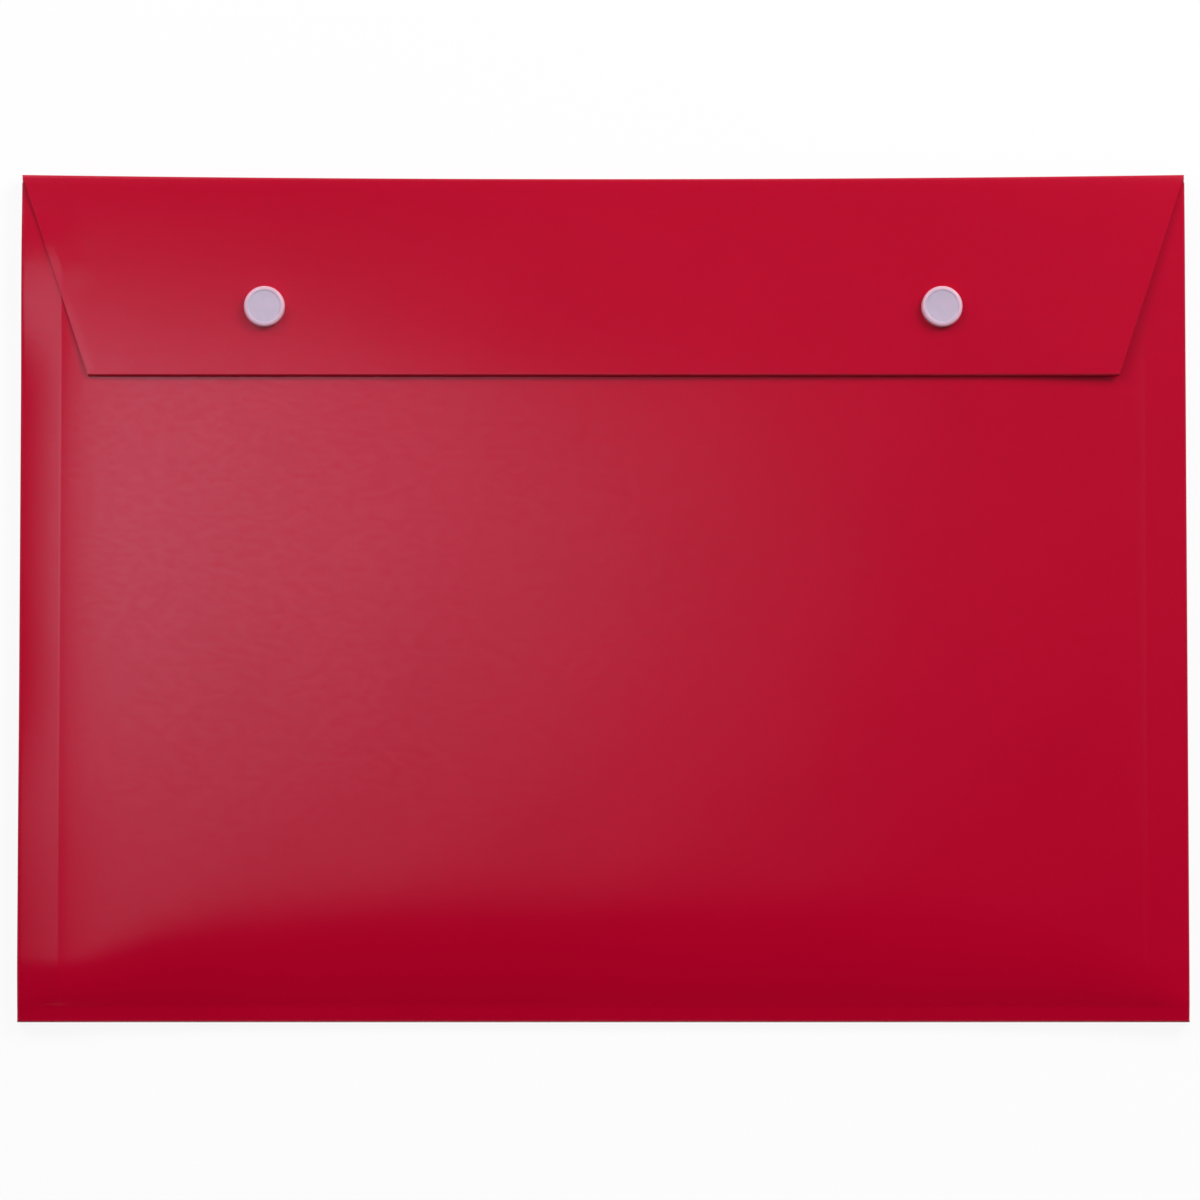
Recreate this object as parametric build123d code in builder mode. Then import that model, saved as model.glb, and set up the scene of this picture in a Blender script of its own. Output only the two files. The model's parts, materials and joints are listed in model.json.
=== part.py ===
from build123d import *
import math
import os

# A document wallet of creased plastic sheet, lying on its back with its flap shut.
# X runs along the top edge, Y towards the flap's fold and Z out of the table.
# The origin is at the middle of the underside. Lengths are millimetres, angles degrees.

# The sheet and the pocket that it is folded into
wallet_width = 330.0
wallet_height = 240.0
sheet = 0.5
pocket_depth = 5.0
wall_lean = 8.0
fold_radius = 0.75
corner_gap = 0.3

# Front panel, which rounds down towards its foot
foot_drop = 2.2
foot_run = 50.0

# Tabs welded under the side margins of the front panel
tab_reach = 12.0
tab_foot_gap = 8.0
tab_taper = 12.0
tab_head_gap = 2.0
weld_gap = 0.05

# Spine along the top edge, between two living hinges
spine_setback = 2.0
crease_clearance = 0.04
mouth_inset = 1.0

# Closing flap, tapered towards its free edge
flap_depth = 57.4
flap_head_inset = 1.2
flap_foot_inset = 19.5
flap_corner_radius = 1.2
shoulder_run = 26.0
shoulder_drop = 1.5

# Places of the two snap fasteners
snap_pitch = 191.0
snap_drop = 38.5

# Rivet posts that hold each pair of snap mouldings through the sheet
post_radius = 1.0
post_clearance = 0.05
rivet_radius = 1.45
rivet_height = 0.25

# Snap cap on the flap
cap_radius = 6.1
cap_rise = 1.4
cap_round = 0.8
cap_rim_width = 0.35
cap_dish = 0.25

# Snap socket under the flap
socket_radius = 4.9
socket_base = 0.5
ring_radius = 4.3
ring_depth = 0.9
chamber_radius = 2.9
lip_radius = 2.6
lip_height = 0.4
seat_clearance = 0.1

# Snap stud on the front panel
stud_radius = 4.9
stud_base = 0.4
knob_radius = 2.25
neck_radius = 1.95
knob_clearance = 0.1
hollow_clearance = 0.1

# Backing disc inside the pocket
backing_radius = 6.1
backing_thickness = 0.7
backing_round = 0.4

# Length by which cuts and blanks run past what they trim
overrun = 5.0

# Heights of the layers, from the table up
half_sheet = sheet / 2
front_under = sheet + pocket_depth
front_top = front_under + sheet
front_foot_under = front_under - foot_drop
tab_rise = sheet + weld_gap
tab_under = front_under - tab_rise
stud_top = front_top + stud_base
ring_under = stud_top + seat_clearance
socket_face = ring_under + ring_depth
flap_under = socket_face + socket_base
flap_middle = flap_under + half_sheet
flap_top = flap_under + sheet
knob_top = socket_face - rivet_height - knob_clearance
crease_height = flap_middle - shoulder_drop

# Lines in plan
half_width = wallet_width / 2
half_height = wallet_height / 2
fold_reach = fold_radius + half_sheet
hinge_y = half_height - half_sheet
crease_y = half_height - spine_setback
mouth_y = crease_y - mouth_inset
flap_edge_y = half_height - flap_depth
shoulder_y = crease_y - shoulder_run
snap_y = half_height - snap_drop
post_hole_radius = post_radius + post_clearance
hinge_gap = half_sheet + crease_clearance

sides = {"left": -1, "right": 1}


def lean_inset(level):
    """How far the outer face of a leaning strip lies in from the outline at a height."""
    lean = math.radians(wall_lean)
    straight_rise = level - fold_reach - fold_reach * math.sin(lean)
    return fold_reach * (1 - math.cos(lean)) + straight_rise * math.tan(lean)


def sag_radius(run, drop):
    """Radius of an arc that leaves the level and falls by drop over a run."""
    return (run**2 + drop**2) / (2 * drop)


def sag_turn(run, radius):
    """Angle that such an arc has turned through after a run."""
    return math.degrees(math.asin(run / radius))


def outward_plane(direction):
    """Upright plane through the origin whose own x axis points out of the wallet."""
    return Plane(origin=(0, 0, 0), x_dir=direction, z_dir=Vector(*direction).cross(Vector(0, 0, 1)))


def mitre_plane(side):
    """Upright plane through a lower corner, facing the side wall there."""
    return Plane(origin=(side * half_width, -half_height, 0), z_dir=(side, 1, 0))


def spine_plane():
    """Plane through the middle of the top spine, facing into the wallet."""
    return Plane(origin=(0, hinge_y, half_sheet), z_dir=(0, half_sheet - crease_height, crease_y - hinge_y))


def strip_line(edge):
    """Middle line of a strip that folds up at an edge of the outline and leans in."""
    with BuildLine() as strip:
        fold = JernArc((edge - fold_reach, half_sheet), (1, 0), fold_radius, 90 + wall_lean)
        PolarLine(fold @ 1, pocket_depth, 90 + wall_lean, length_mode=LengthMode.VERTICAL)
    return strip.line


def save(piece, name):
    """Labels a finished piece and writes its file."""
    piece.part.label = name
    export_step(piece.part, f"parts/{name}.step")


os.makedirs("parts", exist_ok=True)

front_half_width = half_width - lean_inset(tab_under)
front_foot_y = -half_height + lean_inset(front_foot_under)

# Back panel, with the rounded bead of the first living hinge along its top edge
with BuildPart() as back_panel:
    with BuildSketch(Plane.YZ):
        with BuildLine():
            underside = Line((-half_height + fold_reach, 0), (hinge_y, 0))
            bead = JernArc(underside @ 1, (1, 0), half_sheet, 180)
            Polyline(bead @ 1, (-half_height + fold_reach, sheet), underside @ 0)
        make_face()
    extrude(amount=half_width - fold_reach, both=True)
save(back_panel, "back_panel")

# Bottom spine, mitred at both lower corners
with BuildPart() as bottom_spine:
    with BuildSketch(outward_plane((0, -1, 0))):
        trace(strip_line(half_height), sheet)
    extrude(amount=half_width, both=True)
    split(bisect_by=Plane.XY.offset(front_foot_under), keep=Keep.BOTTOM)
    for side in sides.values():
        split(bisect_by=mitre_plane(side).offset(-corner_gap / 2), keep=Keep.BOTTOM)
save(bottom_spine, "bottom_spine")

# Everything under the outer face of the front panel and past its edges, to cut its layers of sheet from
foot_radius = sag_radius(foot_run, foot_drop)
with BuildPart() as pillow:
    with BuildSketch(Plane.YZ):
        with BuildLine():
            crown = Line((mouth_y + overrun, front_top), (front_foot_y + foot_run, front_top))
            foot = JernArc(crown @ 1, (-1, 0), foot_radius, sag_turn(foot_run + overrun, foot_radius))
            Polyline(foot @ 1, (front_foot_y - overrun, 0), (mouth_y + overrun, 0), crown @ 0)
        make_face()
    extrude(amount=half_width + overrun, both=True)

# Side walls and the tabs that are welded to the front panel
for name, side in sides.items():
    with BuildPart() as side_wall:
        with BuildSketch(outward_plane((side, 0, 0))):
            trace(strip_line(half_width), sheet)
        extrude(amount=half_height, both=True)
        add(pillow.part.moved(Location((0, 0, -tab_rise - sheet))), mode=Mode.INTERSECT)
        split(bisect_by=mitre_plane(side).offset(corner_gap / 2), keep=Keep.TOP)
        split(bisect_by=spine_plane().offset(half_sheet + corner_gap), keep=Keep.TOP)
    save(side_wall, f"{name}_side_wall")

    tab_foot_y = -half_height + tab_foot_gap
    tab_head_y = mouth_y - tab_head_gap
    tab_inner_x = half_width - tab_reach
    with BuildPart() as weld_tab:
        add(pillow.part.moved(Location((0, 0, -tab_rise))))
        add(pillow.part.moved(Location((0, 0, -tab_rise - sheet))), mode=Mode.SUBTRACT)
        with BuildSketch():
            with BuildLine():
                Polyline(
                    (side * front_half_width, tab_foot_y),
                    (side * front_half_width, tab_head_y),
                    (side * tab_inner_x, tab_head_y),
                    (side * tab_inner_x, tab_foot_y + tab_taper),
                    close=True,
                )
            make_face()
        extrude(amount=front_top, mode=Mode.INTERSECT)
    save(weld_tab, f"{name}_weld_tab")

# Front panel, pierced for the two stud rivets
with BuildPart() as front_panel:
    add(pillow.part)
    add(pillow.part.moved(Location((0, 0, -sheet))), mode=Mode.SUBTRACT)
    with BuildSketch():
        with Locations((0, front_foot_y)):
            Rectangle(2 * front_half_width, mouth_y - front_foot_y, align=(Align.CENTER, Align.MIN))
    extrude(amount=front_top, mode=Mode.INTERSECT)
    with GridLocations(snap_pitch, 0, 2, 1):
        with Locations((0, snap_y, front_top)):
            Hole(post_hole_radius, depth=sheet)
save(front_panel, "front_panel")

# Outline in plan that the top spine and the flap are both cut to
with BuildSketch() as flap_outline:
    with BuildLine():
        Polyline(
            (-half_width + flap_head_inset, half_height),
            (-half_width + flap_foot_inset, flap_edge_y),
            (half_width - flap_foot_inset, flap_edge_y),
            (half_width - flap_head_inset, half_height),
            close=True,
        )
    make_face()
    fillet(flap_outline.vertices().group_by(Axis.Y)[0], flap_corner_radius)

# Top spine, flat-ended at the first hinge and beaded at the second
with BuildPart() as top_spine:
    with BuildSketch(Plane.YZ):
        with BuildLine():
            Line((hinge_y, half_sheet), (crease_y, crease_height))
        trace(line_width=sheet)
        with Locations((crease_y, crease_height)):
            Circle(half_sheet)
    extrude(amount=half_width, both=True)
    extrude(flap_outline.sketch, amount=flap_top, mode=Mode.INTERSECT)
    split(bisect_by=Plane.XY.offset(sheet + crease_clearance), keep=Keep.TOP)
save(top_spine, "top_spine")

# Flap, which curves up from its crease over the shoulder and then lies flat
shoulder_radius = sag_radius(shoulder_run, shoulder_drop)
shoulder_turn = sag_turn(shoulder_run, shoulder_radius) - math.degrees(hinge_gap / shoulder_radius)
with BuildPart() as closing_flap:
    with BuildSketch(Plane.YZ):
        with BuildLine():
            flat = Line((flap_edge_y, flap_middle), (shoulder_y, flap_middle))
            JernArc(flat @ 1, (1, 0), shoulder_radius, -shoulder_turn)
        trace(line_width=sheet)
    extrude(amount=half_width, both=True)
    extrude(flap_outline.sketch, amount=flap_top + overrun, mode=Mode.INTERSECT)
    with GridLocations(snap_pitch, 0, 2, 1):
        with Locations((0, snap_y, flap_top)):
            Hole(post_hole_radius, depth=sheet)
save(closing_flap, "closing_flap")

# Snap fasteners: each moulding is turned about the upright axis of its rivet
for name, side in sides.items():
    snap_x = side * snap_pitch / 2
    snap_axis = Axis((snap_x, snap_y, 0), (0, 0, 1))
    snap_plane = Plane(origin=(snap_x, snap_y, 0), x_dir=(1, 0, 0), z_dir=(0, -1, 0))

    # Cap with a raised rim, its post and the rivet head that holds the socket
    with BuildPart() as snap_cap:
        with BuildSketch(snap_plane):
            with BuildLine():
                cap_edge = Line((cap_radius, flap_top), (cap_radius, flap_top + cap_rise - cap_round))
                crown = JernArc(cap_edge @ 1, (0, 1), cap_round, 90)
                rim = Line(crown @ 1, (cap_radius - cap_round - cap_rim_width, flap_top + cap_rise))
                Polyline(
                    rim @ 1,
                    (cap_radius - cap_round - cap_rim_width - cap_dish, flap_top + cap_rise - cap_dish),
                    (0, flap_top + cap_rise - cap_dish),
                    (0, socket_face - rivet_height),
                    (rivet_radius, socket_face - rivet_height),
                    (rivet_radius, socket_face),
                    (post_radius, socket_face),
                    (post_radius, flap_top),
                    cap_edge @ 0,
                )
            make_face()
        revolve(axis=snap_axis)
    save(snap_cap, f"{name}_snap_cap")

    # Socket: a flange against the flap and a ring with a lip that closes round the stud's knob
    with BuildPart() as snap_socket:
        with BuildSketch(snap_plane):
            with BuildLine():
                Polyline(
                    (post_hole_radius, flap_under),
                    (socket_radius, flap_under),
                    (socket_radius, socket_face),
                    (ring_radius, socket_face),
                    (ring_radius, ring_under),
                    (lip_radius, ring_under),
                    (lip_radius, ring_under + lip_height),
                    (chamber_radius, ring_under + lip_height),
                    (chamber_radius, socket_face),
                    (post_hole_radius, socket_face),
                    close=True,
                )
            make_face()
        revolve(axis=snap_axis)
    save(snap_socket, f"{name}_snap_socket")

    # Stud: a flange on the front panel and a hollow bulging knob
    hollow_radius = rivet_radius + hollow_clearance
    with BuildPart() as snap_stud:
        with BuildSketch(snap_plane):
            with BuildLine():
                bulge = ThreePointArc(
                    (neck_radius, stud_top),
                    (knob_radius, (stud_top + knob_top) / 2),
                    (neck_radius, knob_top),
                )
                Polyline(
                    bulge @ 1,
                    (hollow_radius, knob_top),
                    (hollow_radius, stud_top),
                    (post_hole_radius, stud_top),
                    (post_hole_radius, front_top),
                    (stud_radius, front_top),
                    (stud_radius, stud_top),
                    bulge @ 0,
                )
            make_face()
        revolve(axis=snap_axis)
    save(snap_stud, f"{name}_snap_stud")

    # Backing disc with the post and rivet head that hold the stud
    backing_under = front_under - backing_thickness
    with BuildPart() as stud_backing:
        with BuildSketch(snap_plane):
            with BuildLine():
                foot = Line((0, backing_under), (backing_radius - backing_round, backing_under))
                rounding = JernArc(foot @ 1, (1, 0), backing_round, 90)
                Polyline(
                    rounding @ 1,
                    (backing_radius, front_under),
                    (post_radius, front_under),
                    (post_radius, stud_top),
                    (rivet_radius, stud_top),
                    (rivet_radius, stud_top + rivet_height),
                    (0, stud_top + rivet_height),
                    foot @ 0,
                )
            make_face()
        revolve(axis=snap_axis)
    save(stud_backing, f"{name}_stud_backing")
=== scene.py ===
"""Looks of a document wallet of satin red sheet, folded flat and snapped shut.

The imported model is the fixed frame. Each sheet is swept from a folded line, as a blank is creased, and each
snap moulding is turned about its rivet. Lengths are metres and angles are degrees.
"""

import json
import logging
import math
from dataclasses import dataclass
from enum import Enum
from typing import Any, Callable, Iterable, Mapping, Optional, Sequence, Union

import bmesh
import bpy
from bmesh.types import BMesh, BMVert
from mathutils import Matrix, Vector


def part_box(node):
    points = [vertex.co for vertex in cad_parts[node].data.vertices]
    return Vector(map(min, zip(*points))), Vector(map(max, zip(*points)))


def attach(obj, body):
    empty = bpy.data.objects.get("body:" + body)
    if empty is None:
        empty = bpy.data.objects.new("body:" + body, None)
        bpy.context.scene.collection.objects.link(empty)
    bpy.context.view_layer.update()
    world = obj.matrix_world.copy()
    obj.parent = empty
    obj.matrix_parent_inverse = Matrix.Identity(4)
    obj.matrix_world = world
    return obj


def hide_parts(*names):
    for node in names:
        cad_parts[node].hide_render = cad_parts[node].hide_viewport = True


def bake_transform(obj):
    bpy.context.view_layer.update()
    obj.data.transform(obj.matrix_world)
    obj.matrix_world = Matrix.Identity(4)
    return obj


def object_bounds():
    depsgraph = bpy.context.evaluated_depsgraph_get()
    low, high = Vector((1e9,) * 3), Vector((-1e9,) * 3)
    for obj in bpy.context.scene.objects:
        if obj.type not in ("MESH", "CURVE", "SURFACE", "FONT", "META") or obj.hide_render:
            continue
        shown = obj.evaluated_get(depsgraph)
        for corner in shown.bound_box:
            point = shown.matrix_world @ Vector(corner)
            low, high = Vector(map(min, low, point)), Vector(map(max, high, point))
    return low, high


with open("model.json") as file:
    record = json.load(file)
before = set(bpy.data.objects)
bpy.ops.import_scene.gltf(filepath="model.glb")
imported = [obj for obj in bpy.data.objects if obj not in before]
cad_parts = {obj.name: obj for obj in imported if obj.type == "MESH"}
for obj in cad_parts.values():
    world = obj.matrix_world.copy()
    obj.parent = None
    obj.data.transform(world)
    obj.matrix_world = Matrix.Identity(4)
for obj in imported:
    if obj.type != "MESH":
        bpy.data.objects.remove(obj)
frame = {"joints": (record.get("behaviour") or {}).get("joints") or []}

CAD_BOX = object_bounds()
MM = 0.001
MERGE_DISTANCE = 1e-6
CUT_TOLERANCE = 1e-7
CUT_EDGE_ANGLE = math.radians(60)
SHARP_ANGLE = math.radians(21)
WHITE = (1.0, 1.0, 1.0, 1.0)
NOISE_MEAN = 0.5
ACROSS = Vector((1, 0, 0))
ALONG = Vector((0, 1, 0))
CREASE_LAYER = "crease"
# Vertex layer marking the snap caps' rims, where a pink glow and highlight are painted in for red light
# bounced off the sheet.
PAINTED_BOUNCE_LAYER = "rim"
log = logging.getLogger("document_wallet")


class Side(Enum):
    """The two mirrored sides of the wallet, as the flap is seen."""

    LEFT = -1
    RIGHT = 1

    @property
    def word(self) -> str:
        """The side's name as it stands in the names of pieces."""
        return self.name.lower()


class Body(Enum):
    """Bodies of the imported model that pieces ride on."""

    POCKET = "pocket"
    SPINE = "spine"
    FLAP = "flap"


class Slot(Enum):
    """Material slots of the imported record."""

    SHEET = "red_sheet"
    SNAP = "white_snap"


class Travel(Enum):
    """Which way a folded line runs across the wallet."""

    ALONG_X = 0.0
    ALONG_Y = 90.0

    @property
    def turn(self) -> Matrix:
        """Rotation that brings a line drawn along X to this direction."""
        return Matrix.Rotation(math.radians(self.value), 3, "Z")


# Shader graph

SocketValue = Union["Signal", float, Sequence[float]]


class Signal:
    """A node's output that takes part in Python arithmetic, adding Math nodes as it goes."""

    def __init__(self, graph: "ShaderGraph", socket: bpy.types.NodeSocket) -> None:
        """Wraps a socket of a graph."""
        self.graph = graph
        self.socket = socket

    def _math(self, operation: str, first: SocketValue, second: SocketValue) -> "Signal":
        """Adds one Math node."""
        return self.graph.node("ShaderNodeMath", {"operation": operation}, {0: first, 1: second})

    def __add__(self, other: SocketValue) -> "Signal":
        """Sum."""
        return self._math("ADD", self, other)

    __radd__ = __add__

    def __sub__(self, other: SocketValue) -> "Signal":
        """Difference."""
        return self._math("SUBTRACT", self, other)

    def __rsub__(self, other: SocketValue) -> "Signal":
        """Difference taken from a number."""
        return self._math("SUBTRACT", other, self)

    def __mul__(self, other: SocketValue) -> "Signal":
        """Product."""
        return self._math("MULTIPLY", self, other)

    __rmul__ = __mul__

    def __pow__(self, other: SocketValue) -> "Signal":
        """Power."""
        return self._math("POWER", self, other)

    def step(self, low: float, high: float) -> "Signal":
        """Smooth step from 0 at low to 1 at high."""
        sockets = {"Value": self, "From Min": low, "From Max": high}
        return self.graph.node("ShaderNodeMapRange", {"interpolation_type": "SMOOTHSTEP"}, sockets)

    def ramp(self, low: float, high: float) -> "Signal":
        """Straight ramp from 0 at low to 1 at high."""
        sockets = {"Value": self, "From Min": low, "From Max": high}
        return self.graph.node("ShaderNodeMapRange", None, sockets)


class ShaderGraph:
    """The node tree of one material or of the world."""

    def __init__(self, owner: Union[bpy.types.Material, bpy.types.World]) -> None:
        """Empties the owner's tree.

        Args:
            owner: The material or world whose nodes are built.
        """
        owner.use_nodes = True
        self.tree = owner.node_tree
        self.tree.nodes.clear()

    def node(
        self,
        kind: str,
        settings: Optional[Mapping[str, Any]] = None,
        sockets: Optional[Mapping[Union[str, int], SocketValue]] = None,
        output: Union[str, int] = 0,
    ) -> Signal:
        """Adds a node.

        Args:
            kind: The node's type.
            settings: Its properties, which are set first.
            sockets: Values or links of its inputs, by name or number.
            output: The output that is wanted, by name or number.

        Returns:
            That output.
        """
        made = self.tree.nodes.new(kind)
        for name, value in (settings or {}).items():
            setattr(made, name, value)
        for key, value in (sockets or {}).items():
            if isinstance(value, Signal):
                self.tree.links.new(value.socket, made.inputs[key])
            else:
                made.inputs[key].default_value = value
        return Signal(self, made.outputs[output] if made.outputs else None)

    def place(self) -> Signal:
        """Places on the object itself."""
        return self.node("ShaderNodeTexCoord", None, None, "Object")

    def axis(self, vector: Signal, letter: str) -> Signal:
        """One of a vector's three parts."""
        return self.node("ShaderNodeSeparateXYZ", None, {"Vector": vector}, letter)

    def relief(self, height: Signal) -> Signal:
        """Normal of a surface with a fine height of its own."""
        return self.node("ShaderNodeBump", None, {"Strength": 1.0, "Distance": 1.0, "Height": height})

    def noise(self, place: Signal, scale: float, detail: float = 2.0) -> Signal:
        """A noise from 0 to 1.

        Args:
            place: Coordinates that it is read at.
            scale: Features per metre.
            detail: Octaves.

        Returns:
            The noise's value.
        """
        sockets = {"Vector": place, "Scale": scale, "Detail": detail}
        return self.node("ShaderNodeTexNoise", {"noise_dimensions": "3D"}, sockets, "Fac")

    def mix(self, share: SocketValue, first: SocketValue, second: SocketValue) -> Signal:
        """Blends two colours.

        Args:
            share: Weight of the second.
            first: Colour at 0.
            second: Colour at 1.

        Returns:
            The blended colour.
        """
        settings = {"data_type": "RGBA", "blend_type": "MIX"}
        return self.node("ShaderNodeMix", settings, {0: share, 6: first, 7: second}, 2)

    def attribute(self, name: str) -> Signal:
        """A piece's own painted value."""
        return self.node("ShaderNodeAttribute", {"attribute_name": name}, None, "Fac")

    def seen_directly(self) -> Signal:
        """Tells the camera's rays, also mirrored or let through on their way, from stray light.

        Returns:
            1 for the former and 0 for the latter.
        """
        paths = ("Is Camera Ray", "Is Glossy Ray", "Is Transmission Ray")
        camera, mirrored, through = (self.node("ShaderNodeLightPath", None, None, path) for path in paths)
        return camera + mirrored + through

    def surface(self, shader: Signal, target: str = "ShaderNodeOutputMaterial") -> None:
        """Plugs a shader into the tree's output."""
        self.node(target, None, {"Surface": shader})


# Finishes


@dataclass(frozen=True)
class SatinSheet:
    """Extruded plastic sheet, through-coloured, with a fine satin skin that bruises paler at its creases."""

    name: str = "satin_red_sheet"
    deep: tuple[float, ...] = (0.436, 0.0007, 0.0198, 1.0)
    bright: tuple[float, ...] = (0.452, 0.0009, 0.0212, 1.0)
    bruised: tuple[float, ...] = (0.540, 0.016, 0.044, 1.0)
    bruise_share: float = 0.08
    bruise_cloud_share: float = 0.4
    roughness: float = 0.14
    cloud_rough: float = 0.03
    grain_rough: float = 0.04
    crease_rough: float = 0.06
    refraction: float = 1.49
    gloss: float = 0.175
    skin_gloss: float = 0.10
    patch_span: tuple[float, ...] = (0.3, 0.7)
    patch_detail: float = 3.0
    cloud_scale: float = 14.0
    grain_scale: float = 3200.0
    grain_height: float = 0.45e-6
    mottle_scale: float = 300.0
    mottle_shape: tuple[float, ...] = (1.0, 2.5, 1.0)
    mottle_height: float = 6e-6

    def build(self) -> bpy.types.Material:
        """Makes the material.

        Returns:
            The finished material.
        """
        material = bpy.data.materials.new(self.name)
        graph = ShaderGraph(material)
        place = graph.place()
        drawn = graph.node("ShaderNodeMapping", None, {"Vector": place, "Scale": self.mottle_shape})
        cloud = graph.noise(place, self.cloud_scale, self.patch_detail)
        mottle = graph.noise(drawn, self.mottle_scale, self.patch_detail)
        grain = graph.noise(place, self.grain_scale)
        crease = graph.attribute(CREASE_LAYER)
        skin = graph.mix(cloud.step(*self.patch_span), self.deep, self.bright)
        blotch = (1 - self.bruise_cloud_share) + self.bruise_cloud_share * cloud
        colour = graph.mix(crease * blotch * self.bruise_share, skin, self.bruised)
        uneven = self.cloud_rough * (cloud - NOISE_MEAN) + self.grain_rough * (grain - NOISE_MEAN)
        roughness = self.roughness + uneven + self.crease_rough * crease
        normal = graph.relief(self.grain_height * grain + self.mottle_height * mottle)
        sockets = {
            "Base Color": colour,
            "Roughness": roughness,
            "IOR": self.refraction,
            "Specular IOR Level": self.gloss,
            "Coat Weight": self.skin_gloss * mottle.step(*self.patch_span),
            "Coat Roughness": self.roughness,
            "Coat IOR": self.refraction,
            "Normal": normal,
        }
        graph.surface(graph.node("ShaderNodeBsdfPrincipled", None, sockets))
        return material


@dataclass(frozen=True)
class MilkySnap:
    """Moulded snap plastic, milky and a little see-through, with a painted pink-white glow and highlight on
    the cap's rim for the red light that bounces and shines in from the sheet.
    """

    name: str = "milky_snap"
    centre: tuple[float, ...] = (0.500, 0.425, 0.520, 1.0)
    cloudy: tuple[float, ...] = (0.530, 0.435, 0.545, 1.0)
    # Painted colour of the cap's rim: red light bounced from the sheet and a highlight, painted into the
    # colour.
    edge: tuple[float, ...] = (0.690, 0.420, 0.510, 1.0)
    roughness: float = 0.33
    cloud_rough: float = 0.08
    grain_rough: float = 0.06
    refraction: float = 1.48
    depth: float = 1.2 * MM
    scatter: tuple[float, ...] = (1.0, 0.6, 0.7)
    subsurface: float = 0.25
    patch_span: tuple[float, ...] = (0.35, 0.65)
    cloud_scale: float = 420.0
    grain_scale: float = 5200.0
    grain_height: float = 2.0e-6

    def build(self) -> bpy.types.Material:
        """Makes the material.

        Returns:
            The finished material.
        """
        material = bpy.data.materials.new(self.name)
        graph = ShaderGraph(material)
        place = graph.place()
        cloud = graph.noise(place, self.cloud_scale)
        grain = graph.noise(place, self.grain_scale)
        body = graph.mix(cloud.step(*self.patch_span), self.centre, self.cloudy)
        uneven = self.cloud_rough * (cloud - NOISE_MEAN) + self.grain_rough * (grain - NOISE_MEAN)
        sockets = {
            # The painted rim glow and highlight are mixed in along the rim layer.
            "Base Color": graph.mix(graph.attribute(PAINTED_BOUNCE_LAYER), body, self.edge),
            "Roughness": self.roughness + uneven,
            "IOR": self.refraction,
            "Subsurface Weight": self.subsurface,
            "Subsurface Radius": self.scatter,
            "Subsurface Scale": self.depth,
            "Normal": graph.relief(self.grain_height * grain),
        }
        graph.surface(graph.node("ShaderNodeBsdfPrincipled", None, sockets))
        return material


@dataclass(frozen=True)
class PaleFloor:
    """White studio floor, which stays white to the camera and keeps a soft shadow."""

    name: str = "pale_floor"
    paint: tuple[float, ...] = (0.90, 0.90, 0.90, 1.0)
    glow_share: float = 0.9

    def build(self) -> bpy.types.Material:
        """Makes the material.

        Returns:
            The finished material.
        """
        material = bpy.data.materials.new(self.name)
        graph = ShaderGraph(material)
        paint = graph.node("ShaderNodeBsdfDiffuse", None, {"Color": self.paint})
        glow = graph.node("ShaderNodeEmission", None, {"Color": WHITE, "Strength": 1.0})
        seen = graph.seen_directly() * self.glow_share
        graph.surface(graph.node("ShaderNodeMixShader", None, {0: seen, 1: paint, 2: glow}))
        return material


# Sizes in use


@dataclass(frozen=True)
class FrameSizes:
    """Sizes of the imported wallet, read from its solids and joints."""

    half_width: float
    half_height: float
    sheet: float
    front_low: Vector
    front_high: Vector
    tab_low: Vector
    tab_high: Vector
    flap_low: Vector
    flap_high: Vector
    cap_low: Vector
    cap_high: Vector
    spine_foot: Vector
    spine_head: Vector
    fold_reach: float = 1.0 * MM
    wall_lean: float = 8.0
    bow: float = 1.2 * MM
    bow_start: float = 85.0 * MM

    @classmethod
    def measured(cls) -> "FrameSizes":
        """Reads the sizes from the loaded frame.

        Returns:
            The sizes.
        """
        high = CAD_BOX[1]
        back_low, back_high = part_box("back_panel")
        places = {joint["name"]: Vector(joint["pos_m"]) for joint in frame["joints"]}
        return cls(
            high.x,
            high.y,
            back_high.z - back_low.z,
            *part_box("front_panel"),
            *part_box("right_weld_tab"),
            *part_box("closing_flap"),
            *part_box("right_snap_cap"),
            places["spine_fold"],
            places["flap_fold"],
        )

    @property
    def snap(self) -> Vector:
        """Middle of the right snap in plan."""
        return 0.5 * (self.cap_low + self.cap_high)

    @property
    def fold_end(self) -> float:
        """Height at which a strip's fold ends and its straight lean begins."""
        return self.fold_reach * (1 + math.sin(math.radians(self.wall_lean)))

    def inset_line(self, level: float) -> float:
        """How far the straight lean of a strip, drawn on past its fold, lies in from the outline.

        Args:
            level: Height above the table.

        Returns:
            Distance from the outline.
        """
        lean = math.radians(self.wall_lean)
        return self.fold_reach * (1 - math.cos(lean)) + (level - self.fold_end) * math.tan(lean)

    def inset(self, level: float) -> float:
        """How far a strip, with its fold, lies in from the outline.

        Args:
            level: Height above the table.

        Returns:
            Distance from the outline.
        """
        if level >= self.fold_end:
            return self.inset_line(level)
        reach = self.fold_reach
        return reach - math.sqrt(max(0.0, reach**2 - (level - reach) ** 2))

    def bowed(self, point: Vector) -> float:
        """How far the top edge's slight bow draws a point down.

        Args:
            point: Where it is on the flat wallet.

        Returns:
            Distance towards the foot.
        """
        near = smooth((point.y - self.bow_start) / (self.spine_head.y - self.bow_start))
        return self.bow * near * (1 - (point.x / self.half_width) ** 2)


def smooth(share: float) -> float:
    """Smooth step of a share from 0 to 1."""
    held = min(1.0, max(0.0, share))
    return held * held * (3 - 2 * held)


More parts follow.
